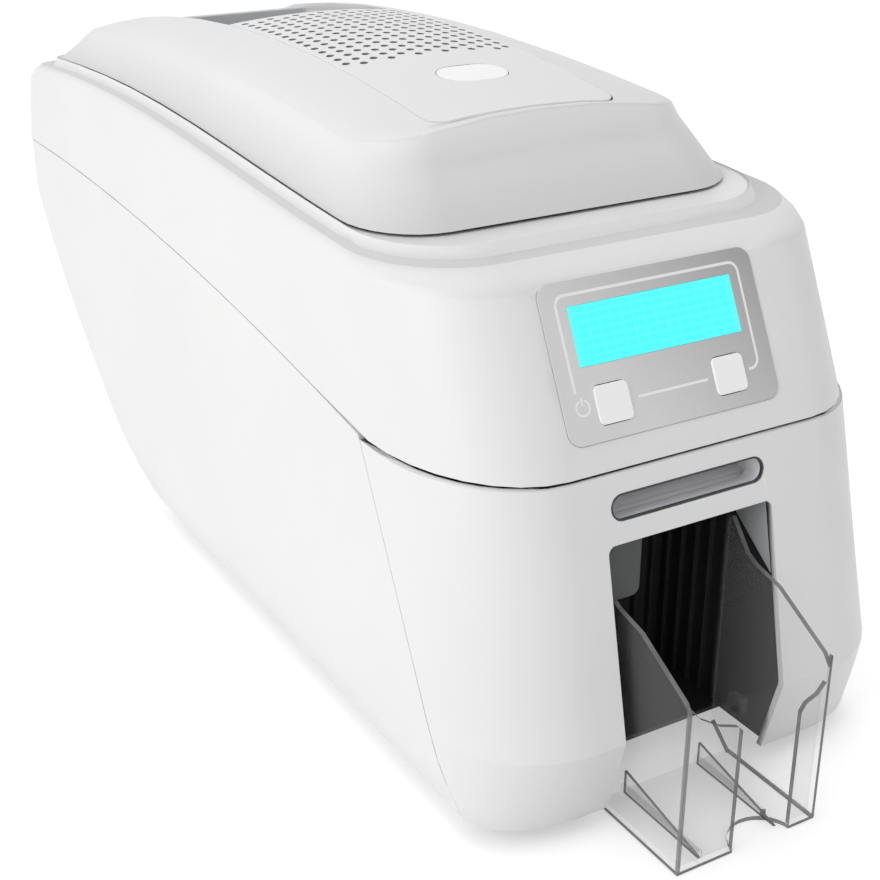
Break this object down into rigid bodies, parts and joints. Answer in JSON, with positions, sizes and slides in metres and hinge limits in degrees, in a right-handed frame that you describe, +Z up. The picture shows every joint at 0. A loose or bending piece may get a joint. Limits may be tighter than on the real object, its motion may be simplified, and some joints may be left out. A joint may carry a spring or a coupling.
{
  "type": "id card printer",
  "caption": "Desktop card printer with a hinged perforated lid, keypad and display face, front card slot, clear output tray and rear card hopper.",
  "frame": {"origin": "centre of the bounding box on the table under the feet", "axes": "+X to the printer's left as seen from behind, that is to the right seen from the front; +Y from the front slot to the rear; +Z up"},
  "size_m": [0.1876, 0.492, 0.2419],
  "materials": {
    "white_shell": "smooth matte white",
    "lid_white": "smooth light grey white",
    "overlay_grey": "satin grey membrane",
    "key_white": "satin white key",
    "window": "lit cyan display window",
    "dark_plastic": "fine matte black",
    "grey_plastic": "matte mid grey",
    "bezel_grey": "matte slate grey",
    "clear_plastic": "clear acrylic",
    "steel": "zinc plated sheet",
    "aluminium": "satin",
    "rubber_dark": "matte",
    "gear_plastic": "natural acetal",
    "brass_pinion": "turned",
    "board_green": "solder mask green",
    "ribbon_dark": "wound film",
    "socket_metal": "plated shell"
  },
  "bodies": {
    "case": {"base_tray": "grey_plastic", "left_side_panel": "white_shell", "right_side_panel": "white_shell", "front_fascia": "white_shell", "upper_case": "white_shell", "rear_cover": "white_shell", "slot_bezel": "bezel_grey", "stacker_chute": "dark_plastic", "keypad_overlay": "overlay_grey", "display_window": "window", "display_module": "dark_plastic", "control_board": "board_green", "latch_catch": "steel", "hinge_pins": "steel", "card_hopper": "grey_plastic", "left_frame": "steel", "right_frame": "steel", "cross_ties": "steel", "card_guide": "dark_plastic", "drive_motor": "aluminium", "ribbon_cassette": "grey_plastic", "ribbon_film": "ribbon_dark", "main_board": "board_green", "power_supply": "aluminium", "power_inlet": "dark_plastic", "usb_socket": "socket_metal", "network_socket": "socket_metal", "rubber_feet": "rubber_dark", "case_screws": "steel"},
    "tray": {"output_tray": "clear_plastic"},
    "key_left": {"left_key": "key_white"},
    "key_right": {"right_key": "key_white"},
    "lid": {"lid_shell": "lid_white", "lid_liner": "dark_plastic", "vent_panel": "lid_white", "print_head": "aluminium", "head_bracket": "steel", "fan_frame": "dark_plastic"},
    "release_button": {"lid_button": "lid_white"},
    "latch": {"lid_latch": "dark_plastic"},
    "fan": {"fan_impeller": "dark_plastic"},
    "feed_front": {"front_feed_roller": "rubber_dark"},
    "platen": {"platen_roller": "rubber_dark"},
    "feed_rear": {"rear_feed_roller": "rubber_dark"},
    "picker": {"pick_roller": "rubber_dark"},
    "pinch_front": {"front_pinch_roller": "rubber_dark"},
    "pinch_rear": {"rear_pinch_roller": "rubber_dark"},
    "idler_front": {"front_idler_gear": "gear_plastic"},
    "idler_middle": {"middle_idler_gear": "gear_plastic"},
    "idler_rear": {"rear_idler_gear": "gear_plastic"},
    "motor_shaft": {"motor_pinion": "brass_pinion"},
    "supply": {"supply_spool": "ribbon_dark"},
    "takeup": {"takeup_spool": "ribbon_dark"}
  },
  "joints": [
    {"name": "tray_slide", "type": "slide", "parent": "case", "child": "tray", "axis": [0, -1, 0], "range_m": [0, 0.06]},
    {"name": "left_key_press", "type": "slide", "parent": "case", "child": "key_left", "axis": [0, 0.8944, -0.4472], "range_m": [0, 0.0008], "stiffness_N_per_m": 300, "springref_m": -0.001},
    {"name": "right_key_press", "type": "slide", "parent": "case", "child": "key_right", "axis": [0, 0.8944, -0.4472], "range_m": [0, 0.0008], "stiffness_N_per_m": 300, "springref_m": -0.001},
    {"name": "lid_hinge", "type": "hinge", "parent": "case", "child": "lid", "pos_m": [-0.00425, 0.2005, 0.208], "axis": [-1, 0, 0], "range_deg": [0, 75]},
    {"name": "button_press", "type": "slide", "parent": "lid", "child": "release_button", "axis": [0, 0, -1], "range_m": [0, 0.003], "stiffness_N_per_m": 300, "springref_m": -0.003},
    {"name": "latch_slide", "type": "slide", "parent": "lid", "child": "latch", "axis": [0, 1, 0], "range_m": [0, 0.003]},
    {"name": "fan_spin", "type": "hinge", "parent": "lid", "child": "fan", "pos_m": [-0.00425, 0.0345, 0.216], "axis": [0, 0, 1], "continuous": true},
    {"name": "platen_spin", "type": "hinge", "parent": "case", "child": "platen", "pos_m": [-0.00425, -0.0505, 0.1121], "axis": [1, 0, 0], "continuous": true},
    {"name": "front_feed_spin", "type": "hinge", "parent": "case", "child": "feed_front", "pos_m": [-0.00425, -0.1255, 0.1121], "axis": [1, 0, 0], "continuous": true},
    {"name": "rear_feed_spin", "type": "hinge", "parent": "case", "child": "feed_rear", "pos_m": [-0.00425, 0.0245, 0.1121], "axis": [1, 0, 0], "continuous": true},
    {"name": "pick_spin", "type": "hinge", "parent": "case", "child": "picker", "pos_m": [-0.00425, 0.0995, 0.1121], "axis": [1, 0, 0], "continuous": true},
    {"name": "front_pinch_spin", "type": "hinge", "parent": "case", "child": "pinch_front", "pos_m": [-0.00425, -0.1255, 0.1269], "axis": [1, 0, 0], "continuous": true},
    {"name": "rear_pinch_spin", "type": "hinge", "parent": "case", "child": "pinch_rear", "pos_m": [-0.00425, 0.0245, 0.1269], "axis": [1, 0, 0], "continuous": true},
    {"name": "front_idler_spin", "type": "hinge", "parent": "case", "child": "idler_front", "pos_m": [-0.00425, -0.088, 0.1121], "axis": [1, 0, 0], "continuous": true},
    {"name": "middle_idler_spin", "type": "hinge", "parent": "case", "child": "idler_middle", "pos_m": [-0.00425, -0.013, 0.1121], "axis": [1, 0, 0], "continuous": true},
    {"name": "rear_idler_spin", "type": "hinge", "parent": "case", "child": "idler_rear", "pos_m": [-0.00425, 0.062, 0.1121], "axis": [1, 0, 0], "continuous": true},
    {"name": "motor_spin", "type": "hinge", "parent": "case", "child": "motor_shaft", "pos_m": [-0.00425, -0.013, 0.0776], "axis": [1, 0, 0], "continuous": true},
    {"name": "supply_spin", "type": "hinge", "parent": "case", "child": "supply", "pos_m": [-0.00425, -0.0025, 0.1585], "axis": [1, 0, 0], "continuous": true},
    {"name": "takeup_spin", "type": "hinge", "parent": "case", "child": "takeup", "pos_m": [-0.00425, -0.0985, 0.1585], "axis": [1, 0, 0], "continuous": true}
  ],
  "couplings": [
    {"joint": "latch_slide", "follows": "button_press", "ratio": 1},
    {"joint": "front_feed_spin", "follows": "platen_spin", "ratio": 1},
    {"joint": "rear_feed_spin", "follows": "platen_spin", "ratio": 1},
    {"joint": "pick_spin", "follows": "platen_spin", "ratio": 1},
    {"joint": "front_idler_spin", "follows": "platen_spin", "ratio": -0.36364},
    {"joint": "middle_idler_spin", "follows": "platen_spin", "ratio": -0.36364},
    {"joint": "rear_idler_spin", "follows": "platen_spin", "ratio": -0.36364},
    {"joint": "motor_spin", "follows": "platen_spin", "ratio": 1.4286},
    {"joint": "front_pinch_spin", "follows": "platen_spin", "ratio": -1.3333},
    {"joint": "rear_pinch_spin", "follows": "platen_spin", "ratio": -1.3333}
  ]
}
